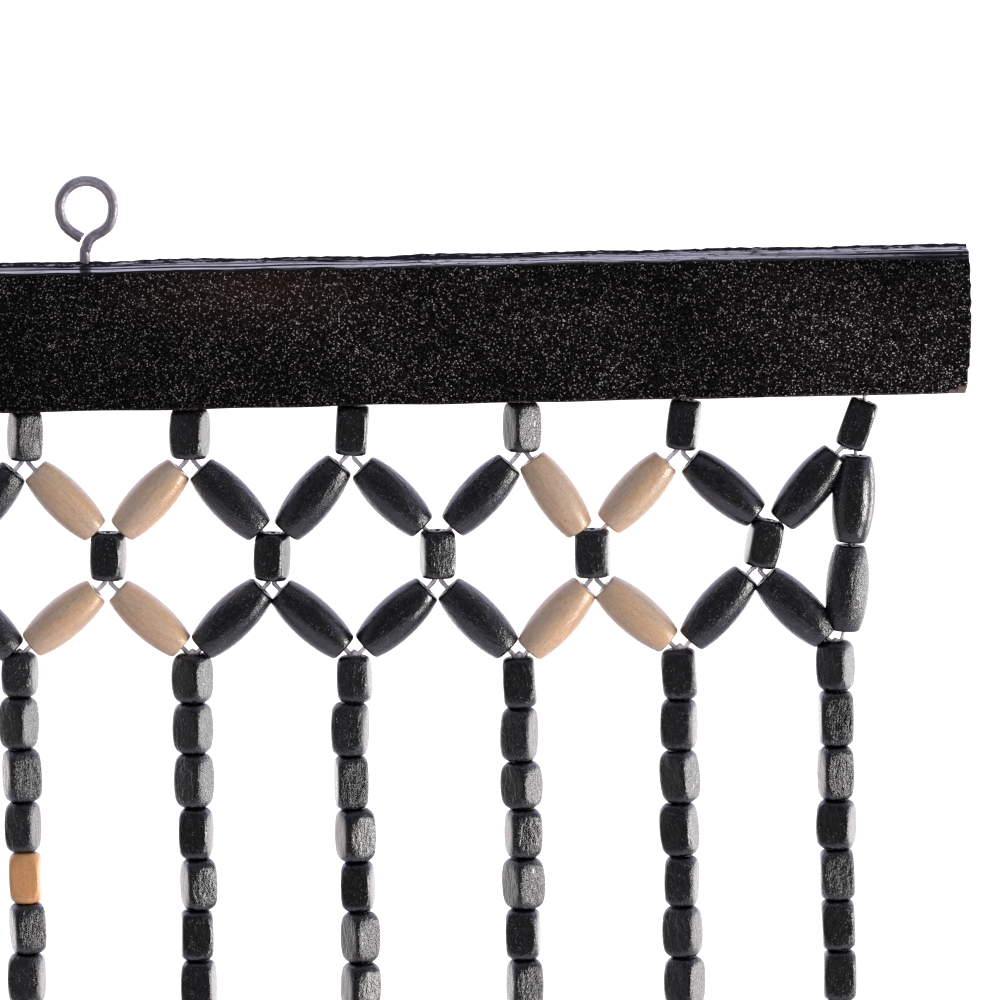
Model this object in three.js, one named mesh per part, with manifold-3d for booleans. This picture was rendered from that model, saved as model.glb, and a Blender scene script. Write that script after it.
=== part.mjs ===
// Wooden bead door curtain on its hanging bar, in millimetres, +Z up, +X to the right.
// The origin lies midway between the two screw eyes, at the height where hooks carry them.
// The bar is cut to a 900 mm doorway, and the curtain drops 2 m from the bar's top.
import * as THREE from 'three';
import { mergeVertices } from 'three/addons/utils/BufferGeometryUtils.js';
import Module from 'manifold-3d';

const wasm = await Module();
wasm.setup();

// Bar: a flat batten, its long edges taken off a little
const BAR_WIDTH = 900;
const BAR_HEIGHT = 31;
const BAR_DEPTH = 12;
const BAR_TOP = -16.7;
const BAR_SLOPE = 1.1; // its top face falls this much to the front
const BAR_EDGE = 1;
const BAR_BOTTOM = BAR_TOP - BAR_HEIGHT;

// Screw eyes: bent wire, the shank in a blind hole in the bar's top
const EYE_X = 262;
const EYE_Y = 2.5;
const EYE_WIRE = 2.24;
const EYE_RADIUS = 5.75;
const EYE_SHANK_SIDE = -0.45;
const EYE_IN_BAR = 12;
const EYE_SIDES = 8;
const EYE_STEPS = 44;
const EYE_CENTRE = EYE_WIRE / 2 - EYE_RADIUS;

// Lattice: strings, top beads, crossings between them, and the tops of the bead strings
const STRINGS = 25;
const MARGIN = 24;
const SPACING = 35.5;
const TOP_BEAD_Z = BAR_TOP - 36.9;
const CROSSING_Z = BAR_TOP - 64;
const STRING_TOP_Z = BAR_TOP - 85.5;
const NATURAL_EVERY = 3;
const NATURAL_FIRST = 1;

// Beads
const SQUARE = { length: 10.4, endRadius: 3.2, midRadius: 4.6, sides: 4 };
const BELLY = 0.36; // share of a bead's length that is at its full width
const OVAL = { length: 18, endRadius: 2.45, midRadius: 4.3, sides: 5, bore: 1.1 };
const STRING_BEADS = 172;
const BEAD_PITCH = 11.1;
const SHAPED_BEADS = 4;
const PLAIN_RADIUS = 4.3;
// Square beads show a flat to the front, turned either way by up to this many degrees
const BEAD_TURN = 22;

// Thread: two leave each hole side by side. The rest says where an oval's end stands from that hole
const THREAD = { radius: 0.5, sides: 3, intoBead: 1, intoBar: 5.5, pastOval: 0.6, apart: 0.65 };
const BESIDE = { out: THREAD.apart, up: 0 };
const UNDER_TOP_BEAD = { out: 2.2, up: -2.2 };
const ABOVE_CROSSING = { out: 3, up: 0.7 };
const UNDER_CROSSING = { out: 2.1, up: -2 };
const ABOVE_STRING = { out: 2.2, up: 1.9 };
const SIDE_TOP = { out: 1.6, up: -1.9 };
const SIDE_BOTTOM = { out: 1.9, up: 3 };

// Gap between two pieces that fit into each other
const CLEARANCE = 0.33;

// How far single beads hang from the even lattice (mm), and how far their tops lean right (degrees).
// Each row's key counts strings or crossings from the left-hand end
const TOP_BEADS = {
  19: { right: -0.8, up: 0.2, lean: 2 },
  20: { right: -0.9, up: -0.1, lean: 2 },
  21: { right: -1.6, up: 0, lean: 5 },
  22: { right: -0.6, up: -0.1, lean: 1 },
  23: { right: -1.4, up: -0.3, lean: 8 },
  24: { right: 0.3, up: -1.0, lean: 20 },
};
const CROSSINGS = {
  19: { right: -1.5, up: 1, lean: 2 },
  20: { right: -1.7, up: 0.2, lean: 3 },
  21: { right: -1.6, up: 0, lean: 1 },
  22: { right: -3.7, up: -0.5, lean: -1 },
  23: { right: -2.4, up: 0.9, lean: 13 },
};
const STRING_TOPS = {
  19: { right: -3.3, up: 1.3, lean: 0 },
  20: { right: -1.6, up: 0.5, lean: 0 },
  21: { right: -2.2, up: -0.4, lean: 0 },
  22: { right: -2.2, up: -1.5, lean: 0 },
  23: { right: -3.1, up: -0.5, lean: 0 },
  24: { right: -5.0, up: 0, lean: 0 },
};

// The rest of the lattice hangs a little to the left of even, and is uneven by up to these amounts
const DRIFT = { top: -0.6, crossing: -1.2, string: -1.5 };
const UNEVEN = { right: 0.7, up: 0.4, lean: 3 };

const blackBar = new THREE.MeshStandardMaterial({ color: 0x1c1a1b, roughness: 0.55, metalness: 0 });
const blackBead = new THREE.MeshStandardMaterial({ color: 0x26272b, roughness: 0.4, metalness: 0 });
const naturalBead = new THREE.MeshStandardMaterial({ color: 0xd2a37c, roughness: 0.5, metalness: 0 });
const steel = new THREE.MeshStandardMaterial({ color: 0x8e8b94, roughness: 0.35, metalness: 1 });

const point = (x, z, y = 0) => new THREE.Vector3(x, y, z);

function named(name, geometry, material) {
  const mesh = new THREE.Mesh(geometry, material);
  mesh.name = name;
  return mesh;
}

// A closed geometry as a solid that can be joined and cut; triangles with no area are dropped
function toSolid(geometry) {
  const bare = geometry.clone();
  bare.deleteAttribute('normal');
  bare.deleteAttribute('uv');
  const merged = mergeVertices(bare, 1e-4);
  const corners = merged.index.array;
  const kept = [];
  for (let i = 0; i < corners.length; i += 3) {
    const [a, b, c] = [corners[i], corners[i + 1], corners[i + 2]];
    if (a !== b && b !== c && c !== a) kept.push(a, b, c);
  }
  return new wasm.Manifold(
    new wasm.Mesh({
      numProp: 3,
      vertProperties: new Float32Array(merged.attributes.position.array),
      triVerts: new Uint32Array(kept),
    }),
  );
}

function toGeometry(solid) {
  const mesh = solid.getMesh();
  const geometry = new THREE.BufferGeometry();
  geometry.setAttribute('position', new THREE.BufferAttribute(mesh.vertProperties, 3));
  geometry.setIndex(new THREE.BufferAttribute(mesh.triVerts, 1));
  geometry.computeVertexNormals();
  return geometry;
}

// Turns a shape made along Y so that it lies on the line between two points, at its middle
function alongLine(geometry, from, to, spin = 0) {
  const direction = to.clone().sub(from).normalize();
  const turn = new THREE.Quaternion().setFromUnitVectors(new THREE.Vector3(0, 1, 0), direction);
  const own = new THREE.Quaternion().setFromAxisAngle(new THREE.Vector3(0, 1, 0), spin);
  const middle = from.clone().add(to).multiplyScalar(0.5);
  const size = new THREE.Vector3(1, 1, 1);
  return geometry.applyMatrix4(new THREE.Matrix4().compose(middle, turn.multiply(own), size));
}

// Straight runs from point to point; equal steps of t fall on the points
class Route extends THREE.Curve {
  constructor(points) {
    super();
    this.points = points;
  }

  getPoint(t, target = new THREE.Vector3()) {
    const runs = this.points.length - 1;
    const run = Math.min(Math.floor(t * runs), runs - 1);
    return target.lerpVectors(this.points[run], this.points[run + 1], t * runs - run);
  }

  getPointAt(t, target) {
    return this.getPoint(t, target);
  }

  getTangentAt(t, target) {
    return this.getTangent(t, target);
  }
}

function regularShape(radius, sides) {
  const shape = new THREE.Shape();
  for (let side = 0; side < sides; side += 1) {
    const turn = ((side + 0.5) * 2 * Math.PI) / sides;
    if (side === 0) shape.moveTo(radius * Math.cos(turn), radius * Math.sin(turn));
    else shape.lineTo(radius * Math.cos(turn), radius * Math.sin(turn));
  }
  return shape;
}

// Thread in straight runs through the points given
function threadPiece(...points) {
  const extrudePath = new Route(points);
  const settings = { steps: points.length - 1, extrudePath, bevelEnabled: false };
  return toSolid(new THREE.ExtrudeGeometry(regularShape(THREAD.radius, THREAD.sides), settings));
}

// Half profile of a barrel-shaped bead: narrow ends, wide middle
function barrelProfile(bead) {
  const half = bead.length / 2;
  return [
    new THREE.Vector2(bead.endRadius, -half),
    new THREE.Vector2(bead.midRadius, -half * BELLY),
    new THREE.Vector2(bead.midRadius, half * BELLY),
    new THREE.Vector2(bead.endRadius, half),
  ];
}

function solidBead(bead) {
  const half = bead.length / 2;
  const profile = [new THREE.Vector2(0, -half), ...barrelProfile(bead), new THREE.Vector2(0, half)];
  return new THREE.LatheGeometry(profile, bead.sides);
}

function boredBead(bead) {
  const half = bead.length / 2;
  const profile = barrelProfile(bead);
  profile.push(new THREE.Vector2(bead.bore, half), new THREE.Vector2(bead.bore, -half));
  profile.push(profile[0].clone());
  return new THREE.LatheGeometry(profile, bead.sides);
}

// A string of beads: the first ones shaped, the rest one plain run of their mean section
function beadString() {
  const profile = [new THREE.Vector2(0, -STRING_BEADS * BEAD_PITCH)];
  profile.push(new THREE.Vector2(PLAIN_RADIUS, -STRING_BEADS * BEAD_PITCH));
  profile.push(new THREE.Vector2(PLAIN_RADIUS, -(SHAPED_BEADS + 0.1) * BEAD_PITCH));
  for (let bead = SHAPED_BEADS - 1; bead >= 0; bead -= 1) {
    const top = -bead * BEAD_PITCH;
    profile.push(new THREE.Vector2(SQUARE.endRadius, top - BEAD_PITCH));
    profile.push(new THREE.Vector2(SQUARE.midRadius, top - BEAD_PITCH / 2));
  }
  profile.push(new THREE.Vector2(SQUARE.endRadius, 0), new THREE.Vector2(0, 0));
  return new THREE.LatheGeometry(profile, SQUARE.sides);
}

// Even steps that never repeat, from -1 to 1, stand in for chance
function chance(n, step) {
  return ((n * step + 0.37) % 1) * 2 - 1;
}

function hang(table, n, drift) {
  if (table[n]) return table[n];
  return {
    right: drift + UNEVEN.right * chance(n, 0.618034),
    up: UNEVEN.up * chance(n, 0.754878),
    lean: UNEVEN.lean * chance(n, 0.56984),
  };
}

// A square bead's middle and the two mouths of its hole
function placeBead(x, z, offset) {
  const middle = point(x + offset.right, z + offset.up);
  const lean = THREE.MathUtils.degToRad(offset.lean);
  const axis = point(Math.sin(lean), Math.cos(lean));
  return {
    lean,
    middle,
    top: middle.clone().addScaledVector(axis, SQUARE.length / 2),
    bottom: middle.clone().addScaledVector(axis, -SQUARE.length / 2),
  };
}

const stringX = (i) => -BAR_WIDTH / 2 + MARGIN + i * SPACING;

function lattice() {
  const tops = [];
  const crossings = [];
  const strings = [];
  for (let i = 0; i < STRINGS; i += 1) {
    tops.push(placeBead(stringX(i), TOP_BEAD_Z, hang(TOP_BEADS, i, DRIFT.top)));
    const offset = hang(STRING_TOPS, i, DRIFT.string);
    strings.push({ lean: 0, top: point(stringX(i) + offset.right, STRING_TOP_Z + offset.up) });
  }
  for (let j = 0; j < STRINGS - 1; j += 1) {
    const x = stringX(j) + SPACING / 2;
    crossings.push(placeBead(x, CROSSING_Z, hang(CROSSINGS, j, DRIFT.crossing)));
  }
  return { tops, crossings, strings };
}

// Where an oval's end stands: beside the hole's mouth, turned with the bead's own lean
function ovalEnd(mouth, lean, stand, side) {
  const across = stand.out * side;
  return point(
    mouth.x + across * Math.cos(lean) + stand.up * Math.sin(lean),
    mouth.z - across * Math.sin(lean) + stand.up * Math.cos(lean),
  );
}

// Every oval of the lattice with its two ends and the mouths that its thread runs between
function ovals({ tops, crossings, strings }) {
  const list = [];
  const add = (upper, upperStand, upperSide, lower, lowerStand, lowerSide, natural) => {
    const high = ovalEnd(upper.mouth, upper.lean, upperStand, upperSide);
    const low = ovalEnd(lower.mouth, lower.lean, lowerStand, lowerSide);
    const middle = high.clone().add(low).multiplyScalar(0.5);
    const axis = high.clone().sub(low).normalize();
    list.push({
      natural,
      from: ovalEnd(upper.mouth, upper.lean, BESIDE, upperSide),
      to: ovalEnd(lower.mouth, lower.lean, BESIDE, lowerSide),
      high: middle.clone().addScaledVector(axis, OVAL.length / 2),
      low: middle.clone().addScaledVector(axis, -OVAL.length / 2),
    });
  };
  const under = (bead) => ({ mouth: bead.bottom, lean: bead.lean });
  const above = (bead) => ({ mouth: bead.top, lean: bead.lean });
  crossings.forEach((crossing, j) => {
    const fromRight = STRINGS - 2 - j;
    const natural = fromRight % NATURAL_EVERY === NATURAL_FIRST;
    add(under(tops[j]), UNDER_TOP_BEAD, 1, above(crossing), ABOVE_CROSSING, -1, natural);
    add(under(tops[j + 1]), UNDER_TOP_BEAD, -1, above(crossing), ABOVE_CROSSING, 1, natural);
    add(under(crossing), UNDER_CROSSING, -1, above(strings[j]), ABOVE_STRING, 1, natural);
    add(under(crossing), UNDER_CROSSING, 1, above(strings[j + 1]), ABOVE_STRING, -1, natural);
  });
  return list;
}

// Two ovals one above the other close each side of the lattice
function sideOvals(top, string, side) {
  const high = ovalEnd(top.bottom, 0, SIDE_TOP, side);
  const low = ovalEnd(string.top, 0, SIDE_BOTTOM, side);
  const axis = high.clone().sub(low).normalize();
  const upperLow = high.clone().addScaledVector(axis, -OVAL.length);
  const lowerHigh = low.clone().addScaledVector(axis, OVAL.length);
  return [
    { natural: false, from: ovalEnd(top.bottom, 0, BESIDE, side), to: lowerHigh, high, low: upperLow },
    { natural: false, from: upperLow, to: ovalEnd(string.top, 0, BESIDE, side), high: lowerHigh, low },
  ];
}

// A point on the line through both ends of an oval, past the end or, if negative, inside it
function beyond(end, otherEnd, distance) {
  const axis = end.clone().sub(otherEnd).normalize();
  return end.clone().addScaledVector(axis, distance);
}

// Thread from one mouth through the oval to the next mouth
function ovalThread(oval) {
  const start = beyond(oval.from, oval.high, THREAD.intoBead);
  const end = beyond(oval.to, oval.low, THREAD.intoBead);
  if (oval.natural) {
    const high = beyond(oval.high, oval.low, THREAD.pastOval);
    const low = beyond(oval.low, oval.high, THREAD.pastOval);
    return [threadPiece(start, high, low, end)];
  }
  const high = beyond(oval.high, oval.low, -THREAD.intoBead);
  const low = beyond(oval.low, oval.high, -THREAD.intoBead);
  return [threadPiece(start, high), threadPiece(low, end)];
}

function netSolid(grid, ovalList) {
  const parts = [];
  [...grid.tops, ...grid.crossings].forEach((bead, n) => {
    const spin = THREE.MathUtils.degToRad(45 + BEAD_TURN * chance(n, 0.618034));
    parts.push(toSolid(alongLine(solidBead(SQUARE), bead.bottom, bead.top, spin)));
  });
  grid.tops.forEach((bead) => {
    const inBead = beyond(bead.top, bead.bottom, -THREAD.intoBead);
    parts.push(threadPiece(inBead, bead.top, point(bead.top.x, BAR_BOTTOM + THREAD.intoBar)));
  });
  grid.strings.forEach((string, i) => {
    const spin = THREE.MathUtils.degToRad(45 + BEAD_TURN * chance(i, 0.754878));
    const upright = beadString().rotateX(Math.PI / 2).rotateZ(spin);
    parts.push(toSolid(upright.translate(string.top.x, 0, string.top.z)));
  });
  ovalList.forEach((oval) => {
    if (!oval.natural) parts.push(toSolid(alongLine(solidBead(OVAL), oval.low, oval.high)));
    parts.push(...ovalThread(oval));
  });
  return parts.reduce((joined, solid) => joined.add(solid));
}

// Blind hole along Z, open at one end
function holeCutter(radius, sides, x, y, from, to) {
  const prism = new THREE.CylinderGeometry(radius, radius, Math.abs(to - from), sides);
  return toSolid(prism.rotateX(Math.PI / 2).translate(x, y, (from + to) / 2));
}

function barGeometry(grid) {
  const y = BAR_DEPTH / 2;
  const section = new THREE.Shape();
  section.moveTo(-y, BAR_BOTTOM + BAR_EDGE);
  section.lineTo(-y + BAR_EDGE, BAR_BOTTOM);
  section.lineTo(y - BAR_EDGE, BAR_BOTTOM);
  section.lineTo(y, BAR_BOTTOM + BAR_EDGE);
  section.lineTo(y, BAR_TOP - BAR_EDGE);
  section.lineTo(y - BAR_EDGE, BAR_TOP);
  section.lineTo(-y + BAR_EDGE, BAR_TOP - BAR_SLOPE);
  section.lineTo(-y, BAR_TOP - BAR_SLOPE - BAR_EDGE);
  const batten = new THREE.ExtrudeGeometry(section, { depth: BAR_WIDTH, bevelEnabled: false });
  const turn = new THREE.Matrix4().makeBasis(point(0, 0, 1), point(0, 1), point(1, 0));
  batten.applyMatrix4(turn).translate(-BAR_WIDTH / 2, 0, 0);
  let solid = toSolid(batten);
  for (const side of [-1, 1]) {
    const radius = (EYE_WIRE / 2 + CLEARANCE) / Math.cos(Math.PI / EYE_SIDES);
    const floor = BAR_TOP - EYE_IN_BAR - CLEARANCE;
    const x = side * EYE_X + EYE_SHANK_SIDE;
    solid = solid.subtract(holeCutter(radius, EYE_SIDES, x, EYE_Y, floor, BAR_TOP + 1));
  }
  for (const bead of grid.tops) {
    const radius = (THREAD.radius + CLEARANCE) * Math.SQRT2;
    const roof = BAR_BOTTOM + THREAD.intoBar + CLEARANCE;
    solid = solid.subtract(holeCutter(radius, 4, bead.top.x, 0, BAR_BOTTOM - 1, roof));
  }
  return toGeometry(solid);
}

// One wire: cut end, once round the ring over the top, then down the neck into the shank
function eyeGeometry() {
  const route = [];
  route.push(point(-1.25, -6.5));
  route.push(point(-2.75, -5.55));
  route.push(point(-4.0, -4.5));
  for (let angle = 195; angle >= -15; angle -= 15) {
    const turn = THREE.MathUtils.degToRad(angle);
    route.push(point(EYE_RADIUS * Math.cos(turn), EYE_RADIUS * Math.sin(turn)));
  }
  route.push(point(5.05, -3.3));
  route.push(point(4.25, -4.4));
  route.push(point(3.05, -5.3));
  route.push(point(1.5, -6.05));
  route.push(point(0.3, -7.2));
  route.push(point(-0.35, -9.0));
  route.push(point(EYE_SHANK_SIDE, -10.5));
  route.push(point(EYE_SHANK_SIDE, BAR_TOP - EYE_IN_BAR - EYE_CENTRE));
  const extrudePath = new THREE.CatmullRomCurve3(route, false, 'centripetal');
  const settings = { steps: EYE_STEPS, extrudePath, bevelEnabled: false };
  return new THREE.ExtrudeGeometry(regularShape(EYE_WIRE / 2, EYE_SIDES), settings);
}

const grid = lattice();
const ovalList = [
  ...ovals(grid),
  ...sideOvals(grid.tops[0], grid.strings[0], -1),
  ...sideOvals(grid.tops[STRINGS - 1], grid.strings[STRINGS - 1], 1),
];

const group = new THREE.Group();
group.add(named('bar', barGeometry(grid), blackBar));

for (const [name, side] of [['eye_left', -1], ['eye_right', 1]]) {
  const eye = named(name, eyeGeometry(), steel);
  eye.position.set(side * EYE_X, EYE_Y, EYE_CENTRE);
  group.add(eye);
}

group.add(named('bead_net', toGeometry(netSolid(grid, ovalList)), blackBead));

ovalList.filter((oval) => oval.natural).forEach((oval, n) => {
  const geometry = alongLine(boredBead(OVAL), oval.low, oval.high);
  group.add(named('natural_oval_' + String(n + 1).padStart(2, '0'), geometry, naturalBead));
});

export default group;
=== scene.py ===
import math

import bpy
import numpy as np
from mathutils import Matrix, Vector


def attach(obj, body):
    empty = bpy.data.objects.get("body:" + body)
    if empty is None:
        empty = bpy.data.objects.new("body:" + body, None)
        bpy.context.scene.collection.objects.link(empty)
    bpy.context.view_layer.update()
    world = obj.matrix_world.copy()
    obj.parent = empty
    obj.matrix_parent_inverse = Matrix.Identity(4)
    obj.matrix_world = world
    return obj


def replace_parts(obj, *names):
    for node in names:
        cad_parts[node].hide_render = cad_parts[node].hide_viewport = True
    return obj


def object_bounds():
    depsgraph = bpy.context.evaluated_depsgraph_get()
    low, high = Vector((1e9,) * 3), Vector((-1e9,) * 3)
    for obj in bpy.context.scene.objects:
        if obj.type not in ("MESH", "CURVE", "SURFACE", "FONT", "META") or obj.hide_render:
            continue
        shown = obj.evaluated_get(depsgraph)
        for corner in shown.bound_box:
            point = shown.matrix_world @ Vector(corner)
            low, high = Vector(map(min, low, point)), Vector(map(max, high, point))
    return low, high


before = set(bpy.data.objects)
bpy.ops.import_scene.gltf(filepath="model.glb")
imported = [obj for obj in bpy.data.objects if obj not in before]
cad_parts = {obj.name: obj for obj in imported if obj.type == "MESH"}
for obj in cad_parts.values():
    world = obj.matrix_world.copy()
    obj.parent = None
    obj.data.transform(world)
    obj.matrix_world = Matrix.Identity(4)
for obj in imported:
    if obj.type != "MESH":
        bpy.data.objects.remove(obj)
cadBox = [list(corner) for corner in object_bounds()]
mm = 0.001
print("frame loaded, box", cadBox)


# Mesh building

# Corner numbers of the faces of one grid, row by row.
def quadStrip(rows, cols, wrapRows, wrapCols):
    r = np.arange(rows if wrapRows else rows - 1)
    c = np.arange(cols if wrapCols else cols - 1)
    r, c = np.meshgrid(r, c, indexing="ij")
    nextR, nextC = (r + 1) % rows, (c + 1) % cols
    corners = [r * cols + c, r * cols + nextC, nextR * cols + nextC, nextR * cols + c]
    return np.stack(corners, -1).reshape(-1, 4)


def addObject(name, data):
    thing = bpy.data.objects.new(name, data)
    bpy.context.collection.objects.link(thing)
    return thing


# Puts arrays of corners (metres) and faces of equal size, or a list of such arrays, into one mesh.
def newPiece(name, verts, faces, material, attributes=None, smooth=True):
    groups = faces if isinstance(faces, list) else [faces]
    loops = np.concatenate([g.reshape(-1) for g in groups]).astype(np.int32)
    sizes = np.concatenate([np.full(len(g), g.shape[1]) for g in groups]).astype(np.int32)
    starts = np.concatenate([[0], np.cumsum(sizes)[:-1]]).astype(np.int32)
    mesh = bpy.data.meshes.new(name)
    mesh.vertices.add(len(verts))
    mesh.vertices.foreach_set("co", verts.astype(np.float32).ravel())
    mesh.loops.add(len(loops))
    mesh.loops.foreach_set("vertex_index", loops)
    mesh.polygons.add(len(sizes))
    mesh.polygons.foreach_set("loop_start", starts)
    mesh.polygons.foreach_set("use_smooth", np.full(len(sizes), smooth))
    mesh.update(calc_edges=True)
    for key, values in (attributes or {}).items():
        isVector = values.ndim == 2
        layer = mesh.attributes.new(key, "FLOAT_VECTOR" if isVector else "FLOAT", "POINT")
        layer.data.foreach_set("vector" if isVector else "value", values.astype(np.float32).ravel())
    mesh.validate()
    mesh.materials.append(material)
    piece = addObject(name, mesh)
    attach(piece, "root")
    print(name, len(mesh.polygons), "faces")
    return piece


# Materials

def newMaterial(name, values=None):
    material = bpy.data.materials.new(name)
    material.use_nodes = True
    tree = material.node_tree
    tree.nodes.clear()
    out = addNode(tree, "OutputMaterial")
    shader = addNode(tree, "BsdfPrincipled", values)
    tree.links.new(shader.outputs[0], out.inputs[0])
    return material, tree, shader


def addNode(tree, kind, values=None, **settings):
    node = tree.nodes.new("ShaderNode" + kind)
    for key, value in settings.items():
        setattr(node, key, value)
    for key, value in (values or {}).items():
        node.inputs[key].default_value = value
    return node


def attribute(tree, name, output="Fac"):
    return addNode(tree, "Attribute", attribute_name=name).outputs[output]


def linked(tree, source, target, key):
    tree.links.new(source, target.inputs[key])
    return target


def noiseOf(tree, place, scale, detail=3, rough=0.55):
    node = addNode(tree, "TexNoise", {"Scale": scale, "Detail": detail, "Roughness": rough})
    return linked(tree, place, node, "Vector").outputs["Fac"]


def stretched(tree, place, x, y, z):
    node = addNode(tree, "Mapping", {"Scale": (x, y, z)})
    return linked(tree, place, node, "Vector").outputs[0]


def ramp(tree, value, low, high, fromColour=(0, 0, 0), toColour=(1, 1, 1)):
    node = addNode(tree, "ValToRGB")
    first, last = node.color_ramp.elements
    first.position, last.position = low, high
    first.color, last.color = (*fromColour, 1), (*toColour, 1)
    return linked(tree, value, node, "Fac").outputs["Color"]


# Mixes two colours; each may be a socket or a plain colour.
def mixColour(tree, amount, first, second, blend="MIX"):
    node = addNode(tree, "Mix", data_type="RGBA", blend_type=blend)
    for key, value in (("Factor", amount), ("A", first), ("B", second)):
        socket = [s for s in node.inputs if s.name == key and s.enabled][0]
        if isinstance(value, bpy.types.NodeSocket):
            tree.links.new(value, socket)
        else:
            socket.default_value = value if key == "Factor" else (*value, 1)
    return [s for s in node.outputs if s.enabled][0]


def maths(tree, operation, first, second=None):
    node = addNode(tree, "Math", operation=operation)
    for n, value in enumerate((first, second)):
        if isinstance(value, bpy.types.NodeSocket):
            tree.links.new(value, node.inputs[n])
        elif value is not None:
            node.inputs[n].default_value = value
    return node.outputs[0]


def times(tree, first, second):
    return maths(tree, "MULTIPLY", first, second)


def bump(tree, height, strength, distance, below=None):
    node = addNode(tree, "Bump", {"Strength": strength, "Distance": distance})
    linked(tree, height, node, "Height")
    if below:
        linked(tree, below, node, "Normal")
    return node.outputs[0]


def remap(tree, value, fromLow, fromHigh, toLow=0.0, toHigh=1.0, kind="LINEAR"):
    limits = {"From Min": fromLow, "From Max": fromHigh, "To Min": toLow, "To Max": toHigh}
    node = addNode(tree, "MapRange", limits, interpolation_type=kind)
    return linked(tree, value, node, "Value").outputs[0]


# Small dots, from faint to bright: round cells of a voronoi pattern, of which only a share are chosen.
def specks(tree, place, scale, share, size):
    cells = addNode(tree, "TexVoronoi", {"Scale": scale})
    linked(tree, place, cells, "Vector")
    split = linked(tree, cells.outputs["Color"], addNode(tree, "SeparateColor"), "Color")
    near = maths(tree, "LESS_THAN", cells.outputs["Distance"], size)
    return times(tree, remap(tree, split.outputs[0], 1 - share, 1.0), near)


# In this look the pale speck colour is a painted glint.
blackBeadLook = {
    "dark": (0.0022, 0.0026, 0.0030), "light": (0.012, 0.014, 0.016), "fibre": (0.028, 0.033, 0.035),
    # the near-black end colour is painted shade for the bead ends and the bore
    "speck": (0.23, 0.235, 0.24), "paintedEndShade": (0.001, 0.001, 0.001),
    "roughness": (0.10, 0.26), "specular": 0.5, "specularAtEnd": 0.03,
    "coat": 0.7, "coatRoughness": 0.07,
    "crack": (0.2, 1.0), "crackDepth": 0.00010, "grain": 0.2, "grainDepth": 0.00006,
}


def blackBeadMaterial():
    look = blackBeadLook
    plain = {"Coat Roughness": look["coatRoughness"]}
    material, tree, shader = newMaterial("blackLacqueredBeads", plain)
    own = attribute(tree, "beadPlace", "Vector")
    tone = attribute(tree, "beadTone")
    paintedEndShade = attribute(tree, "beadEndShade")
    grain = noiseOf(tree, stretched(tree, own, 1, 1, 0.4), 1.25, 4, 0.72)
    fine = noiseOf(tree, stretched(tree, own, 1, 1, 0.6), 4.0, 3, 0.8)
    cloud = noiseOf(tree, own, 0.3, 2)
    body = mixColour(tree, ramp(tree, grain, 0.45, 0.72), look["dark"], look["light"])
    fibre = noiseOf(tree, stretched(tree, own, 1, 1, 0.22), 3.4, 3, 0.75)
    body = mixColour(tree, ramp(tree, fibre, 0.54, 0.68), body, look["fibre"])
    # painted glints: pale dots in the base colour stand in for light sparkling on the rough lacquer
    dots = specks(tree, stretched(tree, own, 1, 1, 0.7), 2.9, 0.4, 0.3)
    dots = times(tree, dots, remap(tree, cloud, 0.38, 0.62, 0.1, 1.0))
    body = mixColour(tree, dots, body, look["speck"])
    body = mixColour(tree, times(tree, tone, 0.25), body, look["light"])
    # painted shade: the bead ends and the bore are made near black, with little sheen and no coat, so
    # that no lit rim shows round the hole
    body = mixColour(tree, paintedEndShade, body, look["paintedEndShade"])
    linked(tree, body, shader, "Base Color")
    linked(tree, remap(tree, fine, 0.3, 0.7, *look["roughness"]), shader, "Roughness")
    specular = remap(tree, paintedEndShade, 0, 1, look["specular"], look["specularAtEnd"])
    linked(tree, specular, shader, "Specular IOR Level")
    # the lacquer is crackled more on beads of a high tone
    crackle = noiseOf(tree, stretched(tree, own, 1, 1, 0.4), 0.65, 3, 0.6)
    height = maths(tree, "ADD", ramp(tree, grain, 0.36, 0.62), ramp(tree, crackle, 0.44, 0.54))
    cracks = bump(tree, height, 1.0, look["crackDepth"])
    linked(tree, remap(tree, tone, 0.3, 1.0, *look["crack"]), cracks.node, "Strength")
    linked(tree, bump(tree, fine, look["grain"], look["grainDepth"], cracks), shader, "Normal")
    linked(tree, remap(tree, paintedEndShade, 0, 1, look["coat"], 0), shader, "Coat Weight")
    linked(tree, cracks, shader, "Coat Normal")
    return material


naturalBeadLook = {
    "pale": (0.54, 0.43, 0.33), "warm": (0.60, 0.42, 0.27), "orange": (0.66, 0.34, 0.14),
    "pore": (0.13, 0.065, 0.04), "lineShade": (0.70, 0.63, 0.57),
    "mottle": ((0.72, 0.67, 0.63), (1.12, 1.12, 1.12)),
    "roughness": (0.24, 0.45), "coat": 0.7, "coatRoughness": 0.12, "grain": 0.5, "grainDepth": 0.00009,
}


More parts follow.
